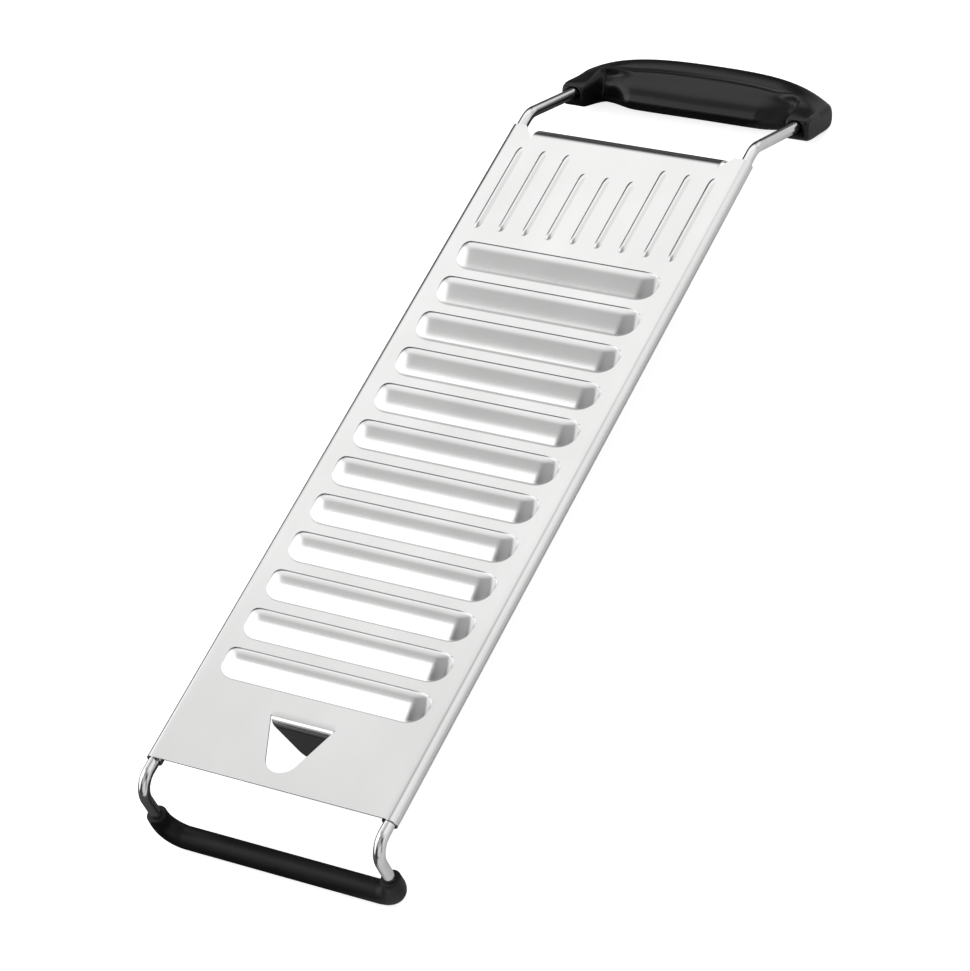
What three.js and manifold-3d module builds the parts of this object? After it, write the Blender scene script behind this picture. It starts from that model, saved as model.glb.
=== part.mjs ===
// A flat multi-blade slicer: a pressed stainless plate held in a bent wire frame, with a moulded handle
// at one end and a rubber foot sleeve at the other.
// Millimetres, +Z up, X across the plate, +Y towards the handle.
// The origin lies under the middle of the object, on the surface that the foot and the handle stand on.
import * as THREE from "three";
import { mergeVertices } from "three/addons/utils/BufferGeometryUtils.js";
import Module from "manifold-3d";

const wasm = await Module();
wasm.setup();

// Driving dimensions of the plate: a sheet with curled long sides, a foot edge and a turned-down lip.
const SHEET = 0.6;
const PLATE_WIDTH = 110;
const PLATE_LENGTH = 317.5;
const PLATE_HEIGHT = 38.5;
const CURL_WRAP = 300;
const CURL_LAND = 4;
const LIP_RADIUS = 4;
const LIP_FLANGE = 2;
const LIP_RECESS = 1.5;
const EAR_WIDTH = 5;

// Louvres: raised blades whose edges face the handle. As many as the plate has room for.
const BLADE_PITCH = 18.4;
const BLADE_RISE = 2.5;
const BLADE_SIDE_MARGIN = 9.6;
const BLADE_FOOT_MARGIN = 39;
const BLADE_SLIT = 0.4;
const LOUVRE_DEPTH = 12.8;
const LOUVRE_CORNER = 12;
const LOUVRE_END_ARC = 5;
const LOUVRE_END_DEPTH = 2;

// Ribs: long beads beside the lip, with a few short ones in the middle.
const RIB_COUNT = 9;
const SHORT_RIB_COUNT = 3;
const RIB_LENGTH = 43.5;
const SHORT_RIB_LENGTH = 35.5;
const RIB_WIDTH = 3;
const RIB_RISE = 0.6;
const RIB_SIDE_MARGIN = 10.8;
const RIB_LIP_MARGIN = 11.6;
const RIB_BLADE_GAP = 8;

// Catch: a cut-out near the foot edge whose tongue is bent straight down.
const CATCH_WIDTH = 28.5;
const CATCH_LENGTH = 22.4;
const CATCH_FOOT_MARGIN = 6.5;
const CATCH_TIP_RADIUS = 7.4;
const CATCH_BEND_RADIUS = 3;
const CATCH_BEND_ANGLE = 88;
const CATCH_GAP = 0.3;

// Rod, and the rubber sleeve on its cross bar.
const WIRE_DIAMETER = 4.6;
const FIT_GAP = 0.3;
const FOOT_REACH = 12.3;
const FOOT_BEND_RADIUS = 8;
const FOOT_CORNER_RADIUS = 9;
const SLEEVE_DIAMETER = 9;
const SLEEVE_LEG = 4;

// Handle: a curved bar with a bulging grip, and an arm at each end that takes the rod.
const HANDLE_BEND_PAST_PLATE = 8.7;
const HANDLE_BEND_RADIUS = 10;
const HANDLE_WIRE_RUN = 35;
const HANDLE_DEPTH = 23;
const HANDLE_ARCH = 8;
const HANDLE_SEAT = 0.8;
const HANDLE_EDGE_RADIUS = 1.8;
const SOCKET_DEPTH = 15;
const SOCKET_FLOOR = 3;
const ARM_WIDTH = 11.4;
const ARM_TOP = 3.8;
const ARM_BOTTOM = -5.6;
const ARM_CORNER = 2.5;
const CREST_HEIGHT = 11.5;
const BAND_DEPTH = 9;
const BAND_DROP = 2;
const GRIP_END_MARGIN = 19.5;
const GRIP_FRONT = 7;
const GRIP_BOTTOM = -8.2;
const GRIP_SHOULDER = 9;
const NECK_FRONT = 12;
const END_BOTTOM = -4.6;

// Cuts run on past the faces they open by this much.
const OVERCUT = 1;
const ARC_STEP = 15;

// What follows from the driving dimensions, in the plate's own frame.
// Its foot edge is at y = 0 and its top at z = 0.
const WIRE_RADIUS = WIRE_DIAMETER / 2;
const CURL_INNER = WIRE_RADIUS + FIT_GAP;
const CURL_OUTER = CURL_INNER + SHEET;
const RAIL_X = PLATE_WIDTH / 2 - CURL_OUTER;
const RAIL_Z = -CURL_OUTER;
const LIP_START = PLATE_LENGTH - LIP_RECESS - LIP_RADIUS;
const LIP_HALF = RAIL_X - CURL_LAND - EAR_WIDTH;
const RIB_END_Y = PLATE_LENGTH - RIB_LIP_MARGIN;
const RIB_START_Y = RIB_END_Y - RIB_LENGTH;
const RIB_PITCH = (PLATE_WIDTH - 2 * RIB_SIDE_MARGIN) / (RIB_COUNT - 1);
const BLADE_LENGTH = PLATE_WIDTH - 2 * BLADE_SIDE_MARGIN;
const FIRST_BLADE_Y = BLADE_FOOT_MARGIN + LOUVRE_DEPTH;
const BLADE_COUNT = 1 + Math.floor((RIB_START_Y - RIB_BLADE_GAP - FIRST_BLADE_Y) / BLADE_PITCH);
const CATCH_BASE_Y = CATCH_FOOT_MARGIN + CATCH_LENGTH;
const CATCH_TIP_CENTRE_Y = CATCH_FOOT_MARGIN + CATCH_TIP_RADIUS;
const FOOT_BAR_Z = SLEEVE_DIAMETER / 2 - PLATE_HEIGHT;
const HANDLE_BEND_Y = PLATE_LENGTH + HANDLE_BEND_PAST_PLATE;
const HANDLE_WIDTH = 2 * RAIL_X + ARM_WIDTH;
const GRIP_LENGTH = HANDLE_WIDTH - 2 * GRIP_END_MARGIN;

// The rod slopes so far that the handle's rear bottom edge just dips below the standing surface,
// where the handle is cut flat.
const SLOPE_REACH = Math.hypot(HANDLE_WIRE_RUN + HANDLE_DEPTH, END_BOTTOM);
const HANDLE_SLOPE = Math.asin((PLATE_HEIGHT + RAIL_Z + HANDLE_SEAT) / SLOPE_REACH)
  - Math.atan(-END_BOTTOM / (HANDLE_WIRE_RUN + HANDLE_DEPTH));

const { degToRad: radians, lerp, smoothstep } = THREE.MathUtils;

// Solids: closed geometries joined and cut as manifolds.
function solidOf(geometry) {
  const bare = geometry.clone();
  bare.deleteAttribute("normal");
  bare.deleteAttribute("uv");
  const merged = mergeVertices(bare, 1e-4);
  return new wasm.Manifold(
    new wasm.Mesh({
      numProp: 3,
      vertProperties: new Float32Array(merged.attributes.position.array),
      triVerts: new Uint32Array(merged.index.array),
    }),
  );
}

function geometryOf(solid) {
  const { vertProperties, triVerts } = solid.getMesh();
  const geometry = new THREE.BufferGeometry();
  geometry.setAttribute("position", new THREE.BufferAttribute(vertProperties, 3));
  geometry.setIndex(new THREE.BufferAttribute(triVerts, 1));
  geometry.computeVertexNormals();
  return geometry;
}

function extruded(section, depth, curveSegments) {
  return new THREE.ExtrudeGeometry(section, { depth, bevelEnabled: false, curveSegments });
}

// Moves every vertex of a geometry by a rule.
function shaped(geometry, rule) {
  const position = geometry.attributes.position;
  const point = new THREE.Vector3();
  for (let i = 0; i < position.count; i += 1) {
    point.fromBufferAttribute(position, i);
    rule(point);
    position.setXYZ(i, point.x, point.y, point.z);
  }
  return geometry;
}

// Straight runs joined by round bends. Each bend has its own stations, so straight runs take a single step.
class RodPath extends THREE.Curve {
  constructor(corners) {
    super();
    this.stations = [corners[0].at.clone()];
    this.tangents = [corners[1].at.clone().sub(corners[0].at).normalize()];
    for (let i = 1; i < corners.length - 1; i += 1) {
      this.addBend(corners[i - 1].at, corners[i], corners[i + 1].at);
    }
    const last = corners.at(-1).at;
    this.stations.push(last.clone());
    this.tangents.push(this.tangents.at(-1).clone());
  }

  addBend(before, { at, radius }, after) {
    const into = at.clone().sub(before).normalize();
    const out = after.clone().sub(at).normalize();
    const turn = into.angleTo(out);
    const start = at.clone().addScaledVector(into, -radius * Math.tan(turn / 2));
    const inward = out.clone().addScaledVector(into, -out.dot(into)).normalize();
    const count = Math.max(2, Math.round(turn / radians(ARC_STEP)));
    for (let k = 0; k <= count; k += 1) {
      const angle = (turn * k) / count;
      this.stations.push(
        start
          .clone()
          .addScaledVector(into, radius * Math.sin(angle))
          .addScaledVector(inward, radius * (1 - Math.cos(angle))),
      );
      this.tangents.push(
        into.clone().multiplyScalar(Math.cos(angle)).addScaledVector(inward, Math.sin(angle)),
      );
    }
  }

  get steps() {
    return this.stations.length - 1;
  }

  getPoint(t, target = new THREE.Vector3()) {
    const place = t * this.steps;
    const index = Math.min(Math.floor(place), this.steps - 1);
    return target.lerpVectors(this.stations[index], this.stations[index + 1], place - index);
  }

  getTangent(t, target = new THREE.Vector3()) {
    return target.copy(this.tangents[Math.round(t * this.steps)]);
  }

  getUtoTmapping(u) {
    return u;
  }
}

function tube(path, outerRadius, innerRadius, sides) {
  const section = new THREE.Shape().absarc(0, 0, outerRadius, 0, 2 * Math.PI);
  if (innerRadius) {
    section.holes.push(new THREE.Path().absarc(0, 0, innerRadius, 0, 2 * Math.PI, true));
  }
  return new THREE.ExtrudeGeometry(section, {
    steps: path.steps,
    curveSegments: sides / 2,
    extrudePath: path,
  });
}

// A closed grid for one pressed shape: a rule places each vertex by its share across (-1..1, with stations
// that crowd to the ends), its share along (0..1), and whether it is on the top face.
function pressedGrid(columns, rows, rule) {
  const grid = new THREE.BoxGeometry(2, 1, 1, columns, rows, 1);
  return shaped(grid, (point) => {
    rule(point, Math.sin((point.x * Math.PI) / 2), 0.5 - point.y, point.z > 0);
  });
}

// Round fall from 1 to 0 over the last stretch of a half length.
function endFall(distance, halfLength, stretch) {
  const over = Math.max(0, distance - (halfLength - stretch)) / stretch;
  return Math.sqrt(Math.max(0, 1 - over * over));
}

// Height of a louvre above the plate, as a share of its rise: nearly level behind the blade, then a ramp.
function louvreProfile(share) {
  return (1 - 0.12 * share) * (1 - smoothstep(share, 0.3, 1));
}

// The blade edge lies along y = 0 and the louvre runs to -Y from it. The tool that clears the underside is
// the same shape, one sheet thickness lower and in from the ends, and opens the slit in front of the blade.
function louvre(isClearance) {
  const inset = isClearance ? SHEET : 0;
  const half = BLADE_LENGTH / 2 - inset;
  return pressedGrid(16, 6, (point, across, along, isTop) => {
    const x = across * half;
    const corner = endFall(Math.abs(x), half, LOUVRE_CORNER);
    const depth = lerp(LOUVRE_END_DEPTH, LOUVRE_DEPTH, corner) - inset;
    const rise = BLADE_RISE * louvreProfile(along) * endFall(Math.abs(x), half, LOUVRE_END_ARC);
    const front = isClearance ? BLADE_SLIT : 0;
    const top = Math.max(rise - inset, -SHEET + inset / 10);
    point.set(x, front - along * (depth + front), isTop ? top : -SHEET - (isClearance ? OVERCUT : 0));
  });
}

function rib(length, isClearance) {
  const inset = isClearance ? SHEET : 0;
  return pressedGrid(4, 8, (point, across, along, isTop) => {
    const half = length / 2;
    const y = half * Math.sin(Math.PI * (0.5 - along));
    const width = (RIB_WIDTH / 2) * Math.max(endFall(Math.abs(y), half, RIB_WIDTH / 2), 0.25);
    const rise = RIB_RISE * (1 - across * across) * endFall(Math.abs(y), half, RIB_WIDTH);
    const scale = isClearance ? 0.9 : 1;
    const floor = -SHEET - (isClearance ? OVERCUT : -SHEET / 2);
    point.set(across * width * scale, y * scale, isTop ? rise - inset : floor);
  });
}

// Outline of the cut-out and of the tongue punched from it: a straight base, straight sides and a round tip,
// which each side meets at this angle round the tip from +X.
const CATCH_TIP_TO_BASE = CATCH_BASE_Y - CATCH_TIP_CENTRE_Y;
const CATCH_SIDE_ANGLE = Math.atan2(CATCH_TIP_TO_BASE, CATCH_WIDTH / 2)
  - Math.acos(CATCH_TIP_RADIUS / Math.hypot(CATCH_TIP_TO_BASE, CATCH_WIDTH / 2));

function catchOutline() {
  const from = Math.PI - CATCH_SIDE_ANGLE;
  const to = 2 * Math.PI + CATCH_SIDE_ANGLE;
  return new THREE.Path()
    .moveTo(CATCH_WIDTH / 2, CATCH_BASE_Y)
    .lineTo(-CATCH_WIDTH / 2, CATCH_BASE_Y)
    .absarc(0, CATCH_TIP_CENTRE_Y, CATCH_TIP_RADIUS, from, to)
    .closePath();
}

function catchHalfWidth(y) {
  const sideX = CATCH_TIP_RADIUS * Math.cos(CATCH_SIDE_ANGLE);
  const sideY = CATCH_TIP_CENTRE_Y + CATCH_TIP_RADIUS * Math.sin(CATCH_SIDE_ANGLE);
  if (y > sideY) {
    return lerp(sideX, CATCH_WIDTH / 2, Math.min(1, (y - sideY) / (CATCH_BASE_Y - sideY)));
  }
  return Math.sqrt(Math.max(0, CATCH_TIP_RADIUS ** 2 - (y - CATCH_TIP_CENTRE_Y) ** 2));
}

function catchTongue() {
  const length = CATCH_LENGTH - CATCH_GAP;
  const turn = radians(CATCH_BEND_ANGLE);
  const arc = turn * CATCH_BEND_RADIUS;
  const blank = new THREE.BoxGeometry(2, length + OVERCUT, SHEET, 2, 24, 1);
  return shaped(blank, (point) => {
    const run = (length - OVERCUT) / 2 - point.y;
    const depth = point.z + SHEET / 2;
    const width = Math.max(catchHalfWidth(CATCH_BASE_Y - run) - CATCH_GAP, SHEET);
    const angle = Math.min(Math.max(run / CATCH_BEND_RADIUS, 0), turn);
    const straight = run < 0 ? run : Math.max(run - arc, 0);
    const radius = CATCH_BEND_RADIUS - SHEET + depth;
    const y = radius * Math.sin(angle) + straight * Math.cos(angle);
    const z = radius * Math.cos(angle) - straight * Math.sin(angle) - CATCH_BEND_RADIUS;
    point.set(point.x * width, CATCH_BASE_Y - y, z);
  });
}

// The flat sheet: between the curls, with sloped ears beside the lip.
function sheetBlank() {
  const outline = new THREE.Shape()
    .moveTo(-RAIL_X, 0)
    .lineTo(RAIL_X, 0)
    .lineTo(RAIL_X, PLATE_LENGTH)
    .lineTo(RAIL_X - CURL_LAND, PLATE_LENGTH)
    .lineTo(LIP_HALF, LIP_START)
    .lineTo(-LIP_HALF, LIP_START)
    .lineTo(-RAIL_X + CURL_LAND, PLATE_LENGTH)
    .lineTo(-RAIL_X, PLATE_LENGTH);
  outline.holes.push(catchOutline());
  return extruded(outline, SHEET, 10).translate(0, 0, -SHEET);
}

// The right-hand curl, drawn in XZ from the sheet's top face over and round the rod, and run along Y.
function curl() {
  const end = radians(90 - CURL_WRAP);
  const section = new THREE.Shape()
    .moveTo(RAIL_X - CURL_LAND / 2, -SHEET)
    .lineTo(RAIL_X - CURL_LAND / 2, 0)
    .lineTo(RAIL_X, 0)
    .absarc(RAIL_X, RAIL_Z, CURL_OUTER, radians(90), end, true)
    .absarc(RAIL_X, RAIL_Z, CURL_INNER, end, radians(90), false)
    .closePath();
  return extruded(section, PLATE_LENGTH, 20).rotateX(Math.PI / 2).translate(0, PLATE_LENGTH, 0);
}

// The lip, drawn in YZ as a quarter turn down with a short flange, and run along X between the ears.
function lip() {
  const section = new THREE.Shape()
    .moveTo(LIP_START - OVERCUT, -SHEET)
    .lineTo(LIP_START - OVERCUT, 0)
    .lineTo(LIP_START, 0)
    .absarc(LIP_START, -LIP_RADIUS, LIP_RADIUS, radians(90), 0, true)
    .lineTo(LIP_START + LIP_RADIUS, -LIP_RADIUS - LIP_FLANGE)
    .lineTo(LIP_START + LIP_RADIUS - SHEET, -LIP_RADIUS - LIP_FLANGE)
    .absarc(LIP_START, -LIP_RADIUS, LIP_RADIUS - SHEET, 0, radians(90), false)
    .closePath();
  const run = extruded(section, 2 * LIP_HALF, 6);
  const axes = new THREE.Matrix4().makeBasis(
    new THREE.Vector3(0, 1, 0),
    new THREE.Vector3(0, 0, 1),
    new THREE.Vector3(1, 0, 0),
  );
  return run.applyMatrix4(axes).translate(-LIP_HALF, 0, 0);
}

function slicingPlate() {
  let plate = solidOf(sheetBlank()).add(solidOf(lip())).add(solidOf(catchTongue()));
  const rightCurl = solidOf(curl());
  plate = plate.add(rightCurl).add(rightCurl.mirror([1, 0, 0]));
  const louvreBody = solidOf(louvre(false));
  const louvreClearance = solidOf(louvre(true));
  for (let i = 0; i < BLADE_COUNT; i += 1) {
    const place = [0, FIRST_BLADE_Y + i * BLADE_PITCH, 0];
    plate = plate.add(louvreBody.translate(place)).subtract(louvreClearance.translate(place));
  }
  const middle = (RIB_COUNT - 1) / 2;
  for (let i = 0; i < RIB_COUNT; i += 1) {
    const isShort = Math.abs(i - middle) <= (SHORT_RIB_COUNT - 1) / 2;
    const length = isShort ? SHORT_RIB_LENGTH : RIB_LENGTH;
    const place = [(i - middle) * RIB_PITCH, RIB_START_Y + length / 2, 0];
    plate = plate.add(solidOf(rib(length, false)).translate(place));
    plate = plate.subtract(solidOf(rib(length, true)).translate(place));
  }
  return geometryOf(plate);
}

// The rod, from one handle socket round the foot to the other.
function slopePoint(x, run) {
  return new THREE.Vector3(
    x,
    HANDLE_BEND_Y + run * Math.cos(HANDLE_SLOPE),
    RAIL_Z - run * Math.sin(HANDLE_SLOPE),
  );
}

function railCorners(side) {
  const x = side * RAIL_X;
  return [
    { at: slopePoint(x, HANDLE_WIRE_RUN + SOCKET_DEPTH - FIT_GAP) },
    { at: new THREE.Vector3(x, HANDLE_BEND_Y, RAIL_Z), radius: HANDLE_BEND_RADIUS },
    { at: new THREE.Vector3(x, -FOOT_REACH, RAIL_Z), radius: FOOT_BEND_RADIUS },
    { at: new THREE.Vector3(x, -FOOT_REACH, FOOT_BAR_Z), radius: FOOT_CORNER_RADIUS },
  ];
}

function wireFrame() {
  const path = new RodPath([...railCorners(-1), ...railCorners(1).reverse()]);
  return tube(path, WIRE_RADIUS, 0, 12);
}

// The sleeve follows the rod's cross bar and both of its corners, and ends a short way up the legs.
function footSleeve() {
  const legTop = FOOT_BAR_Z + FOOT_CORNER_RADIUS + SLEEVE_LEG;
  const corner = (side) => ({
    at: new THREE.Vector3(side * RAIL_X, -FOOT_REACH, FOOT_BAR_Z),
    radius: FOOT_CORNER_RADIUS,
  });
  const path = new RodPath([
    { at: new THREE.Vector3(-RAIL_X, -FOOT_REACH, legTop) },
    corner(-1),
    corner(1),
    { at: new THREE.Vector3(RAIL_X, -FOOT_REACH, legTop) },
  ]);
  return tube(path, SLEEVE_DIAMETER / 2, WIRE_RADIUS + FIT_GAP, 16);
}

// The handle in its own frame: Y runs back along the rod's ends from the socket faces, Z up across them.
function gripSection(x) {
  const share = Math.abs(x) / (HANDLE_WIDTH / 2);
  const gripEnd = GRIP_LENGTH / 2;
  const grip = 1 - smoothstep(Math.abs(x), gripEnd - GRIP_SHOULDER, gripEnd + GRIP_SHOULDER / 2);
  const back = HANDLE_DEPTH + HANDLE_ARCH * (1 - share ** 2);
  const top = lerp(CREST_HEIGHT, ARM_TOP, share ** 4);
  const bottom = lerp(GRIP_BOTTOM, END_BOTTOM, share ** 4);
  const front = lerp(NECK_FRONT, GRIP_FRONT, grip);
  const crease = back - BAND_DEPTH;
  const middle = lerp(bottom, top, 0.4);
  const points = [
    [back - 1, top],
    [crease, top - BAND_DROP],
    [lerp(crease, front, 0.35), lerp(top, middle, 0.5)],
    [front, middle],
    [lerp(front, crease, 0.2), lerp(bottom, middle, 0.3)],
    [lerp(front, back, 0.45), bottom],
    [back - 1, lerp(bottom, top, 0.08)],
    [back, lerp(bottom, top, 0.5)],
  ];
  const ring = points.map(([y, z]) => new THREE.Vector3(x, y, z));
  return new THREE.CatmullRomCurve3(ring, true, "centripetal");
}

function handleBar() {
  const stations = 28;
  const sides = 24;
  const half = HANDLE_WIDTH / 2;
  const sections = new Map();
  const bar = new THREE.CylinderGeometry(1, 1, 2, sides, stations);
  return shaped(bar, (point) => {
    const x = half * Math.sin((point.y * Math.PI) / 2);
    const key = Math.round((point.y + 1) * stations);
    if (!sections.has(key)) {
      sections.set(key, gripSection(x).getPoints(sides).slice(0, sides));
    }
    const ring = sections.get(key);
    const centre = ring.reduce((sum, p) => sum.add(p), new THREE.Vector3()).divideScalar(sides);
    const radius = Math.hypot(point.x, point.z);
    const turn = Math.atan2(point.x, point.z) / (2 * Math.PI);
    const index = (Math.round(turn * sides) + sides) % sides;
    const over = Math.max(0, Math.abs(x) - (half - HANDLE_EDGE_RADIUS));
    const inset = HANDLE_EDGE_RADIUS - Math.sqrt(HANDLE_EDGE_RADIUS ** 2 - over ** 2);
    const spoke = ring[index].clone().sub(centre);
    spoke.setLength(spoke.length() - inset);
    point.copy(centre).addScaledVector(spoke, radius);
    point.x = x;
  });
}

function socketArm() {
  const half = ARM_WIDTH / 2;
  const left = -half + ARM_CORNER;
  const right = half - ARM_CORNER;
  const low = ARM_BOTTOM + ARM_CORNER;
  const high = ARM_TOP - ARM_CORNER;
  const section = new THREE.Shape()
    .absarc(right, low, ARM_CORNER, radians(-90), 0)
    .absarc(right, high, ARM_CORNER, 0, radians(90))
    .absarc(left, high, ARM_CORNER, radians(90), radians(180))
    .absarc(left, low, ARM_CORNER, radians(180), radians(270));
  const depth = SOCKET_DEPTH + SOCKET_FLOOR;
  return extruded(section, depth, 4).rotateX(Math.PI / 2).translate(0, depth, 0);
}

// Everything below the surface that the slicer stands on, in the handle's own frame.
// It cuts the handle's flat underside.
function groundBlock() {
  const entry = slopePoint(0, HANDLE_WIRE_RUN);
  const block = new THREE.BoxGeometry(2 * HANDLE_WIDTH, 2 * HANDLE_WIDTH, HANDLE_WIDTH);
  block.translate(0, 0, -PLATE_HEIGHT - HANDLE_WIDTH / 2 - entry.z);
  return block.rotateX(HANDLE_SLOPE);
}

function handle() {
  const bore = new THREE.CylinderGeometry(
    WIRE_RADIUS + FIT_GAP, WIRE_RADIUS + FIT_GAP, SOCKET_DEPTH + OVERCUT, 16,
  ).translate(0, (SOCKET_DEPTH - OVERCUT) / 2, 0);
  let body = solidOf(handleBar());
  for (const side of [-1, 1]) {
    const place = [side * RAIL_X, 0, 0];
    body = body.add(solidOf(socketArm()).translate(place));
  }
  for (const side of [-1, 1]) {
    body = body.subtract(solidOf(bore).translate([side * RAIL_X, 0, 0]));
  }
  return geometryOf(body.subtract(solidOf(groundBlock())));
}

function piece(name, geometry, colour, metalness, roughness) {
  const material = new THREE.MeshStandardMaterial({ color: colour, metalness, roughness });
  const mesh = new THREE.Mesh(geometry, material);
  mesh.name = name;
  return mesh;
}

const slicer = new THREE.Group();
slicer.name = "slicer";
slicer.add(piece("slicing_plate", slicingPlate(), 0xc9cbcc, 1, 0.35));
slicer.add(piece("wire_frame", wireFrame(), 0xd5d7d8, 1, 0.15));
slicer.add(piece("foot_sleeve", footSleeve(), 0x17181a, 0, 0.7));

const handleMesh = piece("handle", handle(), 0x1b1c1e, 0, 0.45);
handleMesh.position.copy(slopePoint(0, HANDLE_WIRE_RUN));
handleMesh.rotation.x = -HANDLE_SLOPE;
slicer.add(handleMesh);

// The origin goes under the middle of the whole object.
const middle = new THREE.Box3().setFromObject(slicer, true).getCenter(new THREE.Vector3());
slicer.position.set(0, -middle.y, PLATE_HEIGHT);

export default slicer;
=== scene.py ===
import math

import bpy
import numpy as np
from mathutils import Matrix, Vector
from mathutils.geometry import delaunay_2d_cdt


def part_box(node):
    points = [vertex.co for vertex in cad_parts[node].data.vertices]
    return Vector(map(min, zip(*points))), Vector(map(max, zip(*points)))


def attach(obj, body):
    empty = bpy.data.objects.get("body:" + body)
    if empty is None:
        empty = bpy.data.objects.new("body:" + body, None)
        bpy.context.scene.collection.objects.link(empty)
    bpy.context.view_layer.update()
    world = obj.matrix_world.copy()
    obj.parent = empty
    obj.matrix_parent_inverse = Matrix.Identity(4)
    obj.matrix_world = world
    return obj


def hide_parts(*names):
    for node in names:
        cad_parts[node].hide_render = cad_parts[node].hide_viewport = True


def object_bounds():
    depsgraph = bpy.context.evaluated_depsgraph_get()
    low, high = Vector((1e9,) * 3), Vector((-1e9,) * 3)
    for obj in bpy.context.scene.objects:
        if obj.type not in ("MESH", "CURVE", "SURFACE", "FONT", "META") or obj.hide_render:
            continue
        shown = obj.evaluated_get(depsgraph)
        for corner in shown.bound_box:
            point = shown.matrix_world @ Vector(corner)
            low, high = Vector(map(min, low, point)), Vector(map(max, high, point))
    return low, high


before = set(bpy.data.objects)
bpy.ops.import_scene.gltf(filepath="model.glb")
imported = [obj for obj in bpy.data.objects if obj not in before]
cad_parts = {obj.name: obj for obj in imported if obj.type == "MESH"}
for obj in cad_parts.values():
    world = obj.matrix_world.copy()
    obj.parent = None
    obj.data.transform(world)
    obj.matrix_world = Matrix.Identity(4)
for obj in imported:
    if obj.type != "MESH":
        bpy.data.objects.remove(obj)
CAD_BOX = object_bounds()
MM = 0.001  # every shape below is worked out in millimetres in the row frame

# Driving dimensions repeated from the CAD source, in millimetres.
SHEET = 0.6
CURL_OUTER = 3.2
CURL_WRAP = 300
CURL_LAND = 4
LIP_DROP = 6  # bend and flange together
EAR_WIDTH = 5
BLADE_PITCH = 18.4
BLADE_RISE = 2.5
BLADE_SIDE_MARGIN = 9.6
BLADE_FOOT_MARGIN = 39
BLADE_SLIT = 0.4
LOUVRE_DEPTH = 12.8
RIB_COUNT = 9
SHORT_RIB_COUNT = 3
RIB_LENGTH = 43.5
SHORT_RIB_LENGTH = 35.5
RIB_WIDTH = 3
RIB_RISE = 0.6
RIB_SIDE_MARGIN = 10.8
RIB_LIP_MARGIN = 11.6
RIB_BLADE_GAP = 8
CATCH_WIDTH = 28.5
CATCH_LENGTH = 22.4
CATCH_FOOT_MARGIN = 6.5
CATCH_TIP_RADIUS = 7.4
CATCH_BEND_RADIUS = 3
CATCH_BEND_ANGLE = 88
CATCH_GAP = 0.3
WIRE_DIAMETER = 4.6
FIT_GAP = 0.3
FOOT_BEND_RADIUS = 8
FOOT_CORNER_RADIUS = 9
HANDLE_BEND_PAST_PLATE = 8.7
HANDLE_BEND_RADIUS = 10
HANDLE_WIRE_RUN = 35
HANDLE_DEPTH = 23
HANDLE_ARCH = 8
HANDLE_SEAT = 0.8
HANDLE_EDGE_RADIUS = 1.8
SOCKET_DEPTH = 15
ARM_WIDTH = 11.4
ARM_TOP = 3.8
ARM_BOTTOM = -5.6
CREST_HEIGHT = 11.5
BAND_DEPTH = 9
BAND_DROP = 2
GRIP_END_MARGIN = 19.5
GRIP_FRONT = 7
GRIP_BOTTOM = -8.2
GRIP_SHOULDER = 9
NECK_FRONT = 12
END_BOTTOM = -4.6

# What only the looks need, in millimetres.
LIP_RADIUS = 8.8
LIP_MARGIN = 6.2  # from the ears' ends to where the lip starts to bend
LOUVRE_LEVEL = 0.2  # share of a louvre's depth that is nearly level behind the blade
LOUVRE_LEVEL_FALL = 0.12  # the level part's slope, in rises to a depth
LOUVRE_RAMP_POWER = 1.6
LOUVRE_FOOT_ROUNDING = 0.08  # share of the rise over which the ramp runs out into the flat
LOUVRE_END_FALL = 7.5  # length over which a louvre falls off at each end
LOUVRE_FRONT_CORNER = 4
LOUVRE_BACK_CORNER = 8
LOUVRE_END_BACK = 5.8  # how far behind the blade a louvre's rounded end reaches
GROUND_WIDTH = 0.95  # ground bevel along each blade's edge
GROUND_DROP = 0.36
SHAPE_MARGIN = 0.35  # a pressed shape's slope has settled this far outside it
RIB_FULLNESS = 2.5  # power of a rib's section: 2 is a parabola, more is flatter on top
RIB_END_STRETCH = 2.6  # a rib's ends run out more gently than its sides
SLEEVE_END_RADIUS = 4.0  # the sleeve is a little thinner at its turned-up ends
SLEEVE_TAPER = 14
SLEEVE_ROUNDING = 0.5
SOCKET_FLARE = 0.7  # countersink round each rod where it enters the handle
CREASE_STEP = 0.9  # the grip starts this far under the band's front edge
ARM_FILLET = 1.8
ARM_ROUNDING = 1.6
ARM_TOP_ROUNDING = 2.56  # along the arm; it is rounder on top than below
BAND_BACK_ROUNDING = 1.2
CREASE_WIDTH = 0.5
CREASE_REACH = 2.2  # the grip has its own slope this far in front of the crease
CREASE_FALL = 0.2
CREASE_RUN_OUT = (0.55, 0.8)  # shares of the half width between which the crease fades
UNDERSIDE_ROUNDING = 1.5
TOOL_OVERRUN = 1  # a cutting tool starts this far outside what it cuts
BEND_STEP = 4  # degrees
CURL_STEPS = 20
CLOSEST_COLUMNS = 0.12
CATCH_FRAME_SIDE = 3  # flat sheet round the cut-out that is meshed with it
CATCH_FRAME_END = 2.5
LAST_FLAT_ROW = 3  # from the flat foot's last row to where the first louvre starts to rise
NARROWEST_TIP = 0.15  # half width at which the tongue's tip ends
ROD_SIDES = 32
SLEEVE_SIDES = 36
SOCKET_SIDES = 40
SHARP_ANGLE = 38  # degrees between faces above which an edge isn't shaded smooth


def millimetres(corner):
    return np.array(corner) / MM


# Places read from the frame, in millimetres.
plate_low, plate_high = map(millimetres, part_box("slicing_plate"))
sleeve_low, sleeve_high = map(millimetres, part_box("foot_sleeve"))
handle_low, handle_high = map(millimetres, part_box("handle"))

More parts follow.
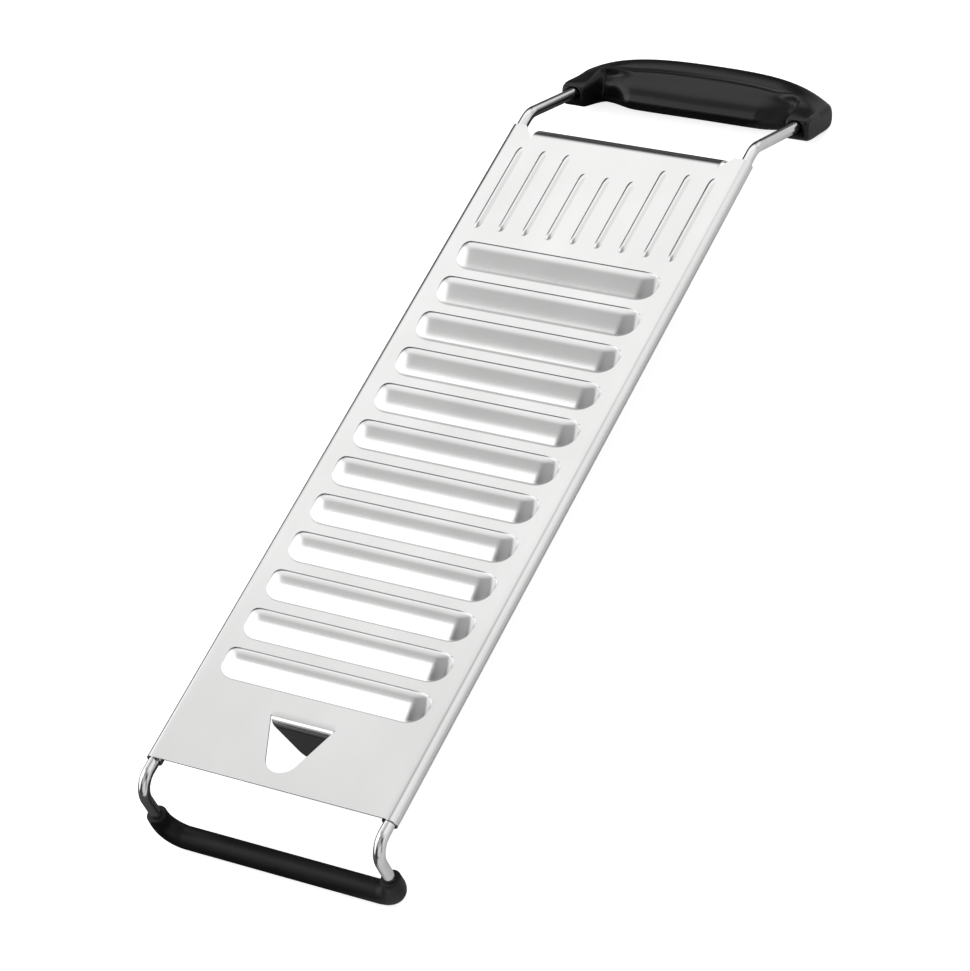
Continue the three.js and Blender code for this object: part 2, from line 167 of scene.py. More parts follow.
PLATE_LENGTH = plate_high[1] - plate_low[1]
PLATE_WIDTH = plate_high[0] - plate_low[0]
PLATE_TOP = plate_high[2] - BLADE_RISE
FOOT_EDGE = plate_low[1]
RAIL_X = PLATE_WIDTH / 2 - CURL_OUTER
RAIL_Z = PLATE_TOP - CURL_OUTER
SLEEVE_RADIUS = (sleeve_high[1] - sleeve_low[1]) / 2
FOOT_BAR_Y = (sleeve_high[1] + sleeve_low[1]) / 2
FOOT_BAR_Z = sleeve_low[2] + SLEEVE_RADIUS
WIRE_RADIUS = WIRE_DIAMETER / 2
LIP_TURN = math.acos(1 - LIP_DROP / LIP_RADIUS)
LIP_START = PLATE_LENGTH - LIP_MARGIN
LIP_HALF = RAIL_X - CURL_LAND - EAR_WIDTH
BLADE_HALF = PLATE_WIDTH / 2 - BLADE_SIDE_MARGIN
RIB_END = PLATE_LENGTH - RIB_LIP_MARGIN
RIB_START = RIB_END - RIB_LENGTH
RIB_PITCH = (PLATE_WIDTH - 2 * RIB_SIDE_MARGIN) / (RIB_COUNT - 1)
FIRST_BLADE = BLADE_FOOT_MARGIN + LOUVRE_DEPTH
BLADE_COUNT = 1 + math.floor((RIB_START - RIB_BLADE_GAP - FIRST_BLADE) / BLADE_PITCH)
CATCH_BASE = CATCH_FOOT_MARGIN + CATCH_LENGTH
CATCH_TIP_CENTRE = CATCH_FOOT_MARGIN + CATCH_TIP_RADIUS
CATCH_FRAME_X = CATCH_WIDTH / 2 + CATCH_FRAME_SIDE
CATCH_FRAME_Y = (CATCH_FOOT_MARGIN - CATCH_FRAME_END, CATCH_BASE + CATCH_FRAME_END)
HANDLE_WIDTH = handle_high[0] - handle_low[0]
HANDLE_BEND_Y = FOOT_EDGE + PLATE_LENGTH + HANDLE_BEND_PAST_PLATE
SLOPE_REACH = math.hypot(HANDLE_WIRE_RUN + HANDLE_DEPTH, END_BOTTOM)
HANDLE_SLOPE = math.asin((RAIL_Z + HANDLE_SEAT) / SLOPE_REACH) - math.atan(
    -END_BOTTOM / (HANDLE_WIRE_RUN + HANDLE_DEPTH)
)


# Small helpers.
def lerp(a, b, t):
    return a + (b - a) * t


def smoothstep(x, low, high):
    t = np.clip((x - low) / (high - low), 0, 1)
    return t * t * (3 - 2 * t)


def end_fall(distance, half, stretch):
    """A round fall from 1 to 0 over the last stretch of a half length."""
    over = np.clip((distance - (half - stretch)) / stretch, 0, 1)
    return np.sqrt(1 - over**2)


def arc_shares(count):
    """Shares of a stretch that crowd to its end, as a round fall needs."""
    return np.sin(np.linspace(0, math.pi / 2, count + 1))


def new_object(name, points, faces, materials, face_materials=None):
    """A smooth mesh piece from points in millimetres."""
    mesh = bpy.data.meshes.new(name)
    mesh.from_pydata((np.asarray(points) * MM).tolist(), [], faces)
    for material in materials:
        mesh.materials.append(material)
    if face_materials is not None:
        mesh.polygons.foreach_set("material_index", face_materials)
    mesh.polygons.foreach_set("use_smooth", [True] * len(mesh.polygons))
    mesh.set_sharp_from_angle(angle=math.radians(SHARP_ANGLE))
    mesh.update()
    piece = bpy.data.objects.new(name, mesh)
    bpy.context.scene.collection.objects.link(piece)
    return piece


def stands_for(piece, node):
    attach(piece, "root")
    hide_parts(node)


# Materials.
class Surface:
    """A Principled material whose colour, roughness and relief come from noise in the row frame."""

    def __init__(self, name, metallic, **shared):
        self.material = bpy.data.materials.new(name)
        self.material.use_nodes = True
        self.nodes = self.material.node_tree.nodes
        self.links = self.material.node_tree.links
        self.shader = self.nodes["Principled BSDF"]
        self.shader.inputs["Metallic"].default_value = metallic
        for socket, value in shared.items():
            self.shader.inputs[socket.replace("_", " ")].default_value = value
        self.place = self.nodes.new("ShaderNodeTexCoord").outputs["Object"]
        self.relief = None

    def noise(self, scales, detail=2.0):
        """Noise with this many features a metre along each axis."""
        mapping = self.nodes.new("ShaderNodeMapping")
        mapping.inputs["Scale"].default_value = scales
        noise = self.nodes.new("ShaderNodeTexNoise")
        noise.inputs["Scale"].default_value = 1
        noise.inputs["Detail"].default_value = detail
        self.links.new(self.place, mapping.inputs["Vector"])
        self.links.new(mapping.outputs["Vector"], noise.inputs["Vector"])
        return noise.outputs["Fac"]

    def ranged(self, value, low, high):
        spread = self.nodes.new("ShaderNodeMapRange")
        spread.inputs["From Min"].default_value = 0.3
        spread.inputs["From Max"].default_value = 0.7
        spread.inputs["To Min"].default_value = low
        spread.inputs["To Max"].default_value = high
        self.links.new(value, spread.inputs["Value"])
        return spread.outputs["Result"]

    def colour(self, value, dark, light):
        mix = self.nodes.new("ShaderNodeMix")
        mix.data_type = "RGBA"
        mix.inputs["A"].default_value = (*dark, 1)
        mix.inputs["B"].default_value = (*light, 1)
        self.links.new(self.ranged(value, 0, 1), mix.inputs["Factor"])
        self.links.new(mix.outputs["Result"], self.shader.inputs["Base Color"])

    def roughness(self, value, low, high):
        self.links.new(self.ranged(value, low, high), self.shader.inputs["Roughness"])

    def bump(self, value, height):
        """Relief of this height in millimetres, added to what is there."""
        bump = self.nodes.new("ShaderNodeBump")
        bump.inputs["Strength"].default_value = 1
        bump.inputs["Distance"].default_value = height * MM
        self.links.new(value, bump.inputs["Height"])
        if self.relief is not None:
            self.links.new(self.relief, bump.inputs["Normal"])
        self.relief = bump.outputs["Normal"]
        self.links.new(self.relief, self.shader.inputs["Normal"])


def plate_steel():
    steel = Surface("plate_steel", 1)
    grain = steel.noise((5200, 60, 5200), 3)
    cloud = steel.noise((34, 22, 34), 3)
    steel.colour(cloud, (0.775, 0.775, 0.77), (0.83, 0.83, 0.825))
    steel.roughness(grain, 0.13, 0.2)
    steel.bump(grain, 0.0006)
    steel.bump(cloud, 0.02)
    return steel.material


def ground_steel():
    steel = Surface("ground_steel", 1)
    lines = steel.noise((900, 6000, 900), 2)
    steel.colour(lines, (0.8, 0.805, 0.81), (0.92, 0.92, 0.92))
    steel.roughness(lines, 0.1, 0.2)
    steel.bump(lines, 0.0005)
    return steel.material


def rod_steel():
    steel = Surface("rod_steel", 1)
    drawn = steel.noise((2600, 90, 2600), 3)
    cloud = steel.noise((120, 60, 120), 2)
    steel.colour(cloud, (0.76, 0.765, 0.77), (0.86, 0.862, 0.865))
    steel.roughness(drawn, 0.09, 0.17)
    steel.bump(drawn, 0.0005)
    return steel.material


def handle_plastic():
    plastic = Surface("handle_plastic", 0, Specular_IOR_Level=0.34)
    grain = plastic.noise((2600, 2600, 2600), 3)
    wear = plastic.noise((38, 60, 60), 4)
    plastic.colour(wear, (0.0035, 0.0037, 0.004), (0.006, 0.0064, 0.007))
    plastic.roughness(wear, 0.22, 0.3)
    plastic.bump(grain, 0.012)
    return plastic.material


def sleeve_rubber():
    rubber = Surface("sleeve_rubber", 0, Specular_IOR_Level=0.3)
    grain = rubber.noise((1900, 1900, 1900), 4)
    handling = rubber.noise((45, 130, 130), 4)
    rubber.colour(handling, (0.005, 0.005, 0.005), (0.009, 0.009, 0.0095))
    rubber.roughness(handling, 0.42, 0.55)
    rubber.bump(grain, 0.03)
    return rubber.material


# The plate: one sheet, first as its top face and then with its thickness.
class Sheet:
    """The top face of a sheet, in the plate's own frame: foot edge at y = 0, top at z = 0."""

    def __init__(self):
        self.points = []
        self.faces = []
        self.ground = {}  # how far each point of a blade's bevel is ground down

    def add_row(self, x, y, z):
        start = len(self.points)
        self.points.extend(zip(*np.broadcast_arrays(x, y, z)))
        return list(range(start, len(self.points)))

    def add_strip(self, low, high, closed=None):
        """Faces between two rows, apart from those whose cell isn't closed."""
        for i in range(len(low) - 1):
            if closed is not None and not closed[i]:
                continue
            corners = [low[i], low[i + 1], high[i + 1], high[i]]
            face = list(dict.fromkeys(corners))
            if len(face) > 2:
                self.faces.append(tuple(face))


def louvre_profile(share):
    """The louvre's height as a share of its rise: nearly level behind the blade, then a ramp."""
    down = np.clip((share - LOUVRE_LEVEL) / (1 - LOUVRE_LEVEL), 0, 1)
    height = (1 - LOUVRE_LEVEL_FALL * share) * (1 - down**LOUVRE_RAMP_POWER)
    sharp = height - LOUVRE_FOOT_ROUNDING / 2
    eased = np.minimum(height, LOUVRE_FOOT_ROUNDING) ** 2 / (2 * LOUVRE_FOOT_ROUNDING)
    return np.where(height > LOUVRE_FOOT_ROUNDING, sharp, eased) / (1 - LOUVRE_FOOT_ROUNDING / 2)


def rib_height(x, y):
    height = np.zeros(np.broadcast(x, y).shape)
    middle = (RIB_COUNT - 1) / 2
    for i in range(RIB_COUNT):
        is_short = abs(i - middle) <= (SHORT_RIB_COUNT - 1) / 2
        length = SHORT_RIB_LENGTH if is_short else RIB_LENGTH
        across = x - (i - middle) * RIB_PITCH
        run_out = RIB_WIDTH / 2 * RIB_END_STRETCH
        past = np.abs(y - RIB_START - length / 2) - (length / 2 - run_out)
        away = np.hypot(across, np.maximum(past, 0) / RIB_END_STRETCH) / (RIB_WIDTH / 2)
        height = np.maximum(height, RIB_RISE * (1 - np.minimum(away, 1) ** RIB_FULLNESS))
    return height


def flat_columns():
    """X stations of the flat sheet: those that an edge needs, then those that curved shapes need."""
    kept = [0, CATCH_FRAME_X, LIP_HALF, BLADE_HALF, RAIL_X - CURL_LAND, RAIL_X]
    wanted = list(BLADE_HALF - LOUVRE_END_FALL * (1 - arc_shares(12)))
    wanted += list(BLADE_HALF - LOUVRE_BACK_CORNER * (1 - arc_shares(9)))
    wanted += list(BLADE_HALF - LOUVRE_FRONT_CORNER * (1 - arc_shares(9)))
    for k in range((RIB_COUNT + 1) // 2):
        wanted += list(k * RIB_PITCH + RIB_WIDTH / 2 * np.sin(np.linspace(-1.5, 1.5, 9)))
        wanted += [k * RIB_PITCH + side * (RIB_WIDTH / 2 + SHAPE_MARGIN) for side in (-1, 1)]
    wanted += [BLADE_HALF + SHAPE_MARGIN, RAIL_X - CURL_LAND / 2, CATCH_FRAME_X / 2]
    for x in wanted:
        if x > 0 and min(abs(x - k) for k in kept) > CLOSEST_COLUMNS:
            kept.append(x)
    right = sorted(kept)
    return np.array([-x for x in reversed(right[1:])] + right)


def sheet_columns():
    """X and Z of every column, from one curl's free edge over the flat to the other's."""
    turn = np.radians(np.linspace(0, CURL_WRAP, CURL_STEPS + 1)[1:])
    curl_x = RAIL_X + CURL_OUTER * np.sin(turn)
    curl_z = CURL_OUTER * (np.cos(turn) - 1)
    flat = flat_columns()
    x = np.concatenate([-curl_x[::-1], flat, curl_x])
    z = np.concatenate([curl_z[::-1], np.zeros(len(flat)), curl_z])
    curl = np.ones(CURL_STEPS, bool)
    in_curl = np.concatenate([curl, np.zeros(len(flat), bool), curl])
    return x, z, in_curl


def catch_side_angle():
    rise = CATCH_BASE - CATCH_TIP_CENTRE
    return math.atan2(rise, CATCH_WIDTH / 2) - math.acos(
        CATCH_TIP_RADIUS / math.hypot(rise, CATCH_WIDTH / 2)
    )


def catch_half_width(y):
    angle = catch_side_angle()
    side_x = CATCH_TIP_RADIUS * math.cos(angle)
    side_y = CATCH_TIP_CENTRE + CATCH_TIP_RADIUS * math.sin(angle)
    if y > side_y:
        return lerp(side_x, CATCH_WIDTH / 2, min(1, (y - side_y) / (CATCH_BASE - side_y)))
    return math.sqrt(max(0, CATCH_TIP_RADIUS**2 - (y - CATCH_TIP_CENTRE) ** 2))


def add_catch(sheet, frame_loop):
    """The cut-out inside its frame of the grid, and the tongue that hangs from its straight side."""
    angle = catch_side_angle()
    turn = math.radians(CATCH_BEND_ANGLE)
    bend = turn * CATCH_BEND_RADIUS
    length = CATCH_LENGTH - CATCH_GAP
    tip_run = CATCH_BASE - CATCH_TIP_CENTRE
    runs = np.concatenate([
        np.linspace(0, bend, 9),
        np.linspace(bend, tip_run, 4)[1:],
        tip_run + (length - tip_run) * arc_shares(10)[1:],
    ])
    across = np.linspace(1, -1, 15)
    rows = []
    for run in runs:
        half = max(catch_half_width(CATCH_BASE - run) - CATCH_GAP, NARROWEST_TIP)
        bent = min(run / CATCH_BEND_RADIUS, turn)
        straight = max(run - bend, 0)
        back = CATCH_BEND_RADIUS * math.sin(bent) + straight * math.cos(bent)
        z = CATCH_BEND_RADIUS * (math.cos(bent) - 1) - straight * math.sin(bent)
        rows.append(sheet.add_row(across * half, CATCH_BASE - back, z))
    for low, high in zip(rows, rows[1:]):
        sheet.add_strip(low, high)
    left = sheet.add_row(-CATCH_WIDTH / 2, [CATCH_BASE], 0)
    sweep = np.linspace(math.pi - angle, 2 * math.pi + angle, 25)
    tip = sheet.add_row(
        CATCH_TIP_RADIUS * np.cos(sweep), CATCH_TIP_CENTRE + CATCH_TIP_RADIUS * np.sin(sweep), 0
    )
    right = sheet.add_row(CATCH_WIDTH / 2, [CATCH_BASE], 0)
    outline = rows[0] + left + tip + right
    ring = frame_loop + outline
    flat = [Vector(sheet.points[i][:2]) for i in ring]
    borders = []
    for start, size in ((0, len(frame_loop)), (len(frame_loop), len(outline))):
        borders += [(start + i, start + (i + 1) % size) for i in range(size)]
    _, _, triangles, sources, _, _ = delaunay_2d_cdt(flat, borders, [], 0, 1e-4)
    for triangle in triangles:
        corners = [sources[c][0] for c in triangle]
        x, y = sum((flat[c] for c in corners), Vector((0, 0))) / 3
        is_open = CATCH_FOOT_MARGIN < y < CATCH_BASE and abs(x) < catch_half_width(y)
        if not is_open:
            sheet.faces.append(tuple(ring[c] for c in corners))


def plate_rows(sheet, x, z, in_curl):
    """Adds the flat zones, louvres and ribs row by row, and gives the last row."""
    middle = (x[:-1] + x[1:]) / 2
    flat_cell = ~(in_curl[:-1] | in_curl[1:])
    in_frame = flat_cell & (np.abs(middle) < CATCH_FRAME_X)
    in_blade = flat_cell & (np.abs(middle) < BLADE_HALF)
    foot_y = [0, *np.linspace(*CATCH_FRAME_Y, 6), BLADE_FOOT_MARGIN - LAST_FLAT_ROW]
    foot_rows = [sheet.add_row(x, y, z) for y in foot_y]
    sheet.add_strip(foot_rows[0], foot_rows[1])
    for low, high in zip(foot_rows[1:-2], foot_rows[2:-1]):
        sheet.add_strip(low, high, ~in_frame)
    sheet.add_strip(foot_rows[-2], foot_rows[-1])
    inside = [i for i in range(len(x)) if not in_curl[i] and abs(x[i]) <= CATCH_FRAME_X + 1e-6]
    bottom = [foot_rows[1][i] for i in inside]
    right = [row[inside[-1]] for row in foot_rows[2:-2]]
    top = [foot_rows[-2][i] for i in reversed(inside)]
    left = [row[inside[0]] for row in reversed(foot_rows[2:-2])]
    add_catch(sheet, bottom + right + top + left)

    last = foot_rows[-1]
    distance = np.where(in_curl, PLATE_WIDTH, np.abs(x))
    setback = LOUVRE_FRONT_CORNER * (1 - end_fall(distance, BLADE_HALF, LOUVRE_FRONT_CORNER))
    reach = lerp(LOUVRE_END_BACK, LOUVRE_DEPTH, end_fall(distance, BLADE_HALF, LOUVRE_BACK_CORNER))
    depth = reach - setback
    fall = end_fall(distance, BLADE_HALF, LOUVRE_END_FALL)
    shares = np.concatenate([[1], np.linspace(0.97, 0.1, 17), [0.07, 0.035, 0]])  # closer at the blade
    for blade in range(BLADE_COUNT):
        edge = FIRST_BLADE + blade * BLADE_PITCH
        behind = sheet.add_row(x, edge - reach - SHAPE_MARGIN, z)
        sheet.add_strip(last, behind)
        last = behind
        for share in shares:
            height = BLADE_RISE * louvre_profile(share) * fall
            row = sheet.add_row(x, edge - setback - share * depth, z + height)
            grind = GROUND_DROP * np.clip(1 - share * depth / GROUND_WIDTH, 0, 1) * fall**2
            sheet.ground.update(zip(row, grind))
            sheet.add_strip(last, row)
            last = row
        front = sheet.add_row(x, edge + BLADE_SLIT - setback, z)
        sheet.add_strip(last, front, ~in_blade)
        last = front

    run_out = RIB_WIDTH / 2 * RIB_END_STRETCH
    ends = run_out * arc_shares(8)
    short_end = RIB_START + SHORT_RIB_LENGTH
    stations = np.concatenate([
        [RIB_START - SHAPE_MARGIN],
        RIB_START + run_out - ends,
        [RIB_START + RIB_LENGTH / 3, RIB_START + RIB_LENGTH * 0.6],
        short_end - run_out + ends,
        RIB_END - run_out + ends,
        [RIB_END + SHAPE_MARGIN, LIP_START],
    ])
    for y in np.unique(stations):
        row = sheet.add_row(x, y, z + np.where(in_curl, 0, rib_height(x, y)))
        sheet.add_strip(last, row)
        last = row
    return last


def add_lip_and_ears(sheet, x, z, in_curl, last):
    lip = [i for i in range(len(x)) if not in_curl[i] and abs(x[i]) <= LIP_HALF + 1e-6]
    previous = [last[i] for i in lip]
    for turn in np.linspace(0, LIP_TURN, 16)[1:]:
        y = LIP_START + LIP_RADIUS * math.sin(turn)
        row = sheet.add_row(x[lip], y, LIP_RADIUS * (math.cos(turn) - 1))
        sheet.add_strip(previous, row)
        previous = row
    for ear in (range(lip[0] + 1), range(lip[-1], len(x))):
        ear = list(ear)
        reach = np.clip((np.abs(x[ear]) - LIP_HALF) / EAR_WIDTH, 0, 1)
        reach = np.where(in_curl[ear], 1, reach)
        previous = [last[i] for i in ear]
        corner = last[lip[0]] if ear[0] == 0 else last[lip[-1]]
        for share in (0.5, 1):
            y = LIP_START + share * reach * (PLATE_LENGTH - LIP_START)
            row = sheet.add_row(x[ear], y, z[ear])
            row = [corner if i in (lip[0], lip[-1]) else r for i, r in zip(ear, row)]
            sheet.add_strip(previous, row)
            previous = row


def thickened(sheet):
    """Points and faces of the sheet with its underside and its cut edges."""
    used = sorted({i for face in sheet.faces for i in face})
    renumber = {old: new for new, old in enumerate(used)}
    points = np.array([sheet.points[i] for i in used], float)
    faces = [tuple(renumber[i] for i in face) for face in sheet.faces]
    probe = bpy.data.meshes.new("probe")
    probe.from_pydata(points.tolist(), [], faces)
    normals = np.zeros(len(points) * 3, np.float32)
    probe.vertex_normals.foreach_get("vector", normals)
    bpy.data.meshes.remove(probe)
    ground = np.array([sheet.ground.get(i, 0) for i in used])
    count = len(points)
    top = points - ground[:, None] * (0, 0, 1)
    low = points - SHEET * normals.reshape(-1, 3)
    edges = {(face[k - 1], face[k]) for face in faces for k in range(len(face))}
    rims = [(b, a, count + a, count + b) for a, b in edges if (b, a) not in edges]
    under = [tuple(count + i for i in reversed(face)) for face in faces]
    slots = [int(all(ground[i] > 0 for i in face)) for face in faces]
    slots += [0] * (len(under) + len(rims))
    return np.vstack([top, low]), faces + under + sorted(rims), slots


def slicing_plate():
    sheet = Sheet()
    x, z, in_curl = sheet_columns()
    last = plate_rows(sheet, x, z, in_curl)
    add_lip_and_ears(sheet, x, z, in_curl, last)
    points, faces, slots = thickened(sheet)
    points = points + (0, FOOT_EDGE, PLATE_TOP)
    plate = new_object("plate_sheet", points, faces, [plate_steel(), ground_steel()], slots)
    stands_for(plate, "slicing_plate")


# Rods and tubes.
def rod_path(corners):
    """Points and tangents along straight runs joined by round bends, from (point, radius) corners."""
    places = [Vector(at) for at, _ in corners]
    points = [places[0]]
    tangents = [(places[1] - places[0]).normalized()]
    for before, at, after, (_, radius) in zip(places, places[1:], places[2:], corners[1:]):
        into = (at - before).normalized()
        out = (after - at).normalized()
        turn = into.angle(out)
        start = at - into * radius * math.tan(turn / 2)
        inward = (out - into * out.dot(into)).normalized()
        for angle in np.linspace(0, turn, max(3, round(math.degrees(turn) / BEND_STEP))):
            along = into * math.sin(angle) + inward * (1 - math.cos(angle))
            points.append(start + along * radius)
            tangents.append(into * math.cos(angle) + inward * math.sin(angle))
    points.append(places[-1])
    tangents.append(tangents[-1])
    return points, tangents


def rings_along(points, tangents, radii, sides):
    """One ring of points round each station, carried along without twist."""
    side = tangents[0].orthogonal().normalized()
    turns = np.linspace(0, 2 * math.pi, sides, endpoint=False)
    rings = []
    for point, tangent, radius in zip(points, tangents, radii):
        side = (side - tangent * side.dot(tangent)).normalized()
        other = tangent.cross(side)
        circle = np.outer(np.cos(turns), side) + np.outer(np.sin(turns), other)
        rings.append(np.array(point) + radius * circle)
    return rings


def skin(rings, closed):
    """Faces over a run of rings: a closed run is joined end to start, an open one is capped."""
    sides = len(rings[0])
    faces = []
    for k in range(len(rings) - (0 if closed else 1)):
        low = k * sides
        high = (k + 1) % len(rings) * sides
        for i in range(sides):
            j = (i + 1) % sides
            faces.append((low + i, low + j, high + j, high + i))
    if not closed:
        faces.append(tuple(reversed(range(sides))))
        faces.append(tuple(range((len(rings) - 1) * sides, len(rings) * sides)))
    return faces


def slope_point(x, run):
    return Vector((
        x,
        HANDLE_BEND_Y + run * math.cos(HANDLE_SLOPE),
        RAIL_Z - run * math.sin(HANDLE_SLOPE),
    ))


def wire_frame():
    def half(side):
        x = side * RAIL_X
        return [
            (slope_point(x, HANDLE_WIRE_RUN + SOCKET_DEPTH - FIT_GAP), 0),
            ((x, HANDLE_BEND_Y, RAIL_Z), HANDLE_BEND_RADIUS),
            ((x, FOOT_BAR_Y, RAIL_Z), FOOT_BEND_RADIUS),
            ((x, FOOT_BAR_Y, FOOT_BAR_Z), FOOT_CORNER_RADIUS),
        ]

    points, tangents = rod_path(half(-1) + half(1)[::-1])
    rings = rings_along(points, tangents, [WIRE_RADIUS] * len(points), ROD_SIDES)
    rod = new_object("wire_rod", np.vstack(rings), skin(rings, False), [rod_steel()])
    stands_for(rod, "wire_frame")


def foot_sleeve():
    corners = [
        ((-RAIL_X, FOOT_BAR_Y, sleeve_high[2]), 0),
        ((-RAIL_X, FOOT_BAR_Y, FOOT_BAR_Z), FOOT_CORNER_RADIUS),
        ((RAIL_X, FOOT_BAR_Y, FOOT_BAR_Z), FOOT_CORNER_RADIUS),
        ((RAIL_X, FOOT_BAR_Y, sleeve_high[2]), 0),
    ]
    points, tangents = rod_path(corners)
    steps = [0] + [(b - a).length for a, b in zip(points, points[1:])]
    along = np.cumsum(steps)
    wanted = np.unique(np.concatenate([
        along,
        SLEEVE_ROUNDING * (1 - arc_shares(4)),
        along[-1] - SLEEVE_ROUNDING * (1 - arc_shares(4)),
        np.linspace(0, along[-1], 60),
    ]))
    at = [np.interp(wanted, along, [p[k] for p in points]) for k in range(3)]
    to = [np.interp(wanted, along, [t[k] for t in tangents]) for k in range(3)]
    points = [Vector(p) for p in zip(*at)]
    tangents = [Vector(t).normalized() for t in zip(*to)]
    from_end = np.minimum(wanted, along[-1] - wanted)
    swell = smoothstep(from_end, 0, SLEEVE_TAPER)
    to_end = SLEEVE_ROUNDING - from_end
    rounding = SLEEVE_ROUNDING * (1 - end_fall(to_end, SLEEVE_ROUNDING, SLEEVE_ROUNDING))
    radii = lerp(SLEEVE_END_RADIUS, SLEEVE_RADIUS, swell) - rounding
    outer = rings_along(points, tangents, radii, SLEEVE_SIDES)
    bore = [WIRE_RADIUS + FIT_GAP / 3] * len(points)
    inner = rings_along(points, tangents, bore, SLEEVE_SIDES)
    rings = outer + inner[::-1]
    sleeve = new_object("sleeve_tube", np.vstack(rings), skin(rings, True), [sleeve_rubber()])
    stands_for(sleeve, "foot_sleeve")


# The handle, in its own frame: Y runs back along the rod's ends from the socket faces, Z up across them.
def grip_section(x, count):
    """The handle's section at x: the bar's, which turns into an arm's over each rod."""
    share = abs(x) / (HANDLE_WIDTH / 2)
    grip_end = HANDLE_WIDTH / 2 - GRIP_END_MARGIN
    grip = 1 - smoothstep(abs(x), grip_end - GRIP_SHOULDER, grip_end + GRIP_SHOULDER / 2)
    inner_side = RAIL_X - ARM_WIDTH / 2
    arm = smoothstep(abs(x), inner_side - ARM_FILLET, inner_side + ARM_FILLET)
    back = HANDLE_DEPTH + HANDLE_ARCH * (1 - share**2)
    top = lerp(CREST_HEIGHT, ARM_TOP, share**4)
    bottom = lerp(GRIP_BOTTOM, END_BOTTOM, share**4)
    middle = lerp(bottom, top, 0.4)
    front = lerp(NECK_FRONT, GRIP_FRONT, grip)
    crease = back - BAND_DEPTH
    fade = 1 - smoothstep(share, *CREASE_RUN_OUT)
    shelf = top - BAND_DROP * fade
    step = CREASE_STEP * fade
    band = [
        (back - BAND_BACK_ROUNDING, top),
        (crease, shelf),
        (crease - CREASE_WIDTH, shelf - step),
        (crease - CREASE_REACH, shelf - step - CREASE_FALL),
    ]
    bar_front = [
        (lerp(crease, front, 0.45), lerp(shelf, middle, 0.36)),
        (lerp(crease, front, 0.8), lerp(shelf, middle, 0.7)),
        (lerp(crease, front, 0.95), middle),
        (front, lerp(middle, bottom, 0.3)),
        (lerp(front, crease, 0.2), lerp(bottom, middle, 0.3)),
        (lerp(front, back, 0.45), bottom),
    ]
    arm_front = [
        (crease * 0.6, lerp(shelf, ARM_TOP, 0.45)),
        (ARM_TOP_ROUNDING, ARM_TOP),
        (0, ARM_TOP - ARM_ROUNDING),
        (0, ARM_BOTTOM + ARM_ROUNDING),
        (ARM_ROUNDING, ARM_BOTTOM),
        (back / 2, ARM_BOTTOM),
    ]
    under = [(back - UNDERSIDE_ROUNDING, lerp(bottom, top, 0.08)), (back, lerp(bottom, top, 0.5))]
    between = lerp(np.array(bar_front), np.array(arm_front), arm)
    return closed_spline(np.vstack([band, between, under]), count)


def closed_spline(knots, count):
    """A closed centripetal Catmull-Rom curve through the knots, with count points between knots."""
    points = []
    n = len(knots)
    for i in range(n):
        p0, p1, p2, p3 = (knots[(i + k) % n] for k in (-1, 0, 1, 2))
        d0, d1, d2 = (math.sqrt(np.linalg.norm(b - a)) for a, b in ((p0, p1), (p1, p2), (p2, p3)))
        m1 = ((p1 - p0) / d0 - (p2 - p0) / (d0 + d1) + (p2 - p1) / d1) * d1
        m2 = ((p2 - p1) / d1 - (p3 - p1) / (d1 + d2) + (p3 - p2) / d2) * d1
        for t in np.linspace(0, 1, count, endpoint=False):
            points.append(
                (2 * t**3 - 3 * t**2 + 1) * p1
                + (t**3 - 2 * t**2 + t) * m1
                + (-2 * t**3 + 3 * t**2) * p2
                + (t**3 - t**2) * m2
            )
    return np.array(points)


def handle_bar():
    half = HANDLE_WIDTH / 2
    inner = half - HANDLE_EDGE_RADIUS
    arm_side = RAIL_X - ARM_WIDTH / 2
    right = np.concatenate([
        np.linspace(0, arm_side - ARM_FILLET, 70),
        np.linspace(arm_side - ARM_FILLET, arm_side + ARM_FILLET, 26)[1:],
        np.linspace(arm_side + ARM_FILLET, inner, 8)[1:],
        inner + HANDLE_EDGE_RADIUS * arc_shares(8)[1:],
    ])
    rings = []
    for x in np.concatenate([-right[:0:-1], right]):
        section = grip_section(x, 8)
        over = max(0, abs(x) - inner)
        inset = HANDLE_EDGE_RADIUS - math.sqrt(HANDLE_EDGE_RADIUS**2 - over**2)
        along = np.roll(section, -1, axis=0) - np.roll(section, 1, axis=0)
        inward = np.column_stack([along[:, 1], -along[:, 0]])
        inward /= np.linalg.norm(inward, axis=1, keepdims=True)
        if np.sum(inward * (section.mean(axis=0) - section)) < 0:
            inward = -inward
        ring = section + inward * inset
        rings.append(np.column_stack([np.full(len(ring), x), ring]))
    return np.vstack(rings), skin(rings, False)


def rounded_box(low, high, radius):
    """A box drawn out along Y, its section's corners and both its ends rounded."""
    turns = np.linspace(0, 2 * math.pi, 32, endpoint=False)
    rings = []
    ends = radius * (1 - arc_shares(6)) / 2
    stations = np.unique(np.concatenate([low[1] + ends, high[1] - ends, [lerp(low[1], high[1], 0.5)]]))
    for y in stations:
        from_end = min(y - low[1], high[1] - y)
        inset = radius / 2 * (1 - math.sqrt(1 - (1 - min(1, from_end / (radius / 2))) ** 2))
        corner = radius - inset * 0.5
        cx = np.where(np.cos(turns) >= 0, high[0] - inset - corner, low[0] + inset + corner)
        cz = np.where(np.sin(turns) >= 0, high[2] - inset - corner, low[2] + inset + corner)
        ring = [cx + corner * np.cos(turns), np.full(32, y), cz + corner * np.sin(turns)]
        rings.append(np.column_stack(ring))
    faces = skin(rings, False)
    return np.vstack(rings), [face[::-1] for face in faces]


def applied(piece):
    """The piece's mesh replaced by what its modifiers make of it."""
    bpy.context.view_layer.update()
    shown = piece.evaluated_get(bpy.context.evaluated_depsgraph_get())
    piece.data = bpy.data.meshes.new_from_object(shown)
    piece.modifiers.clear()


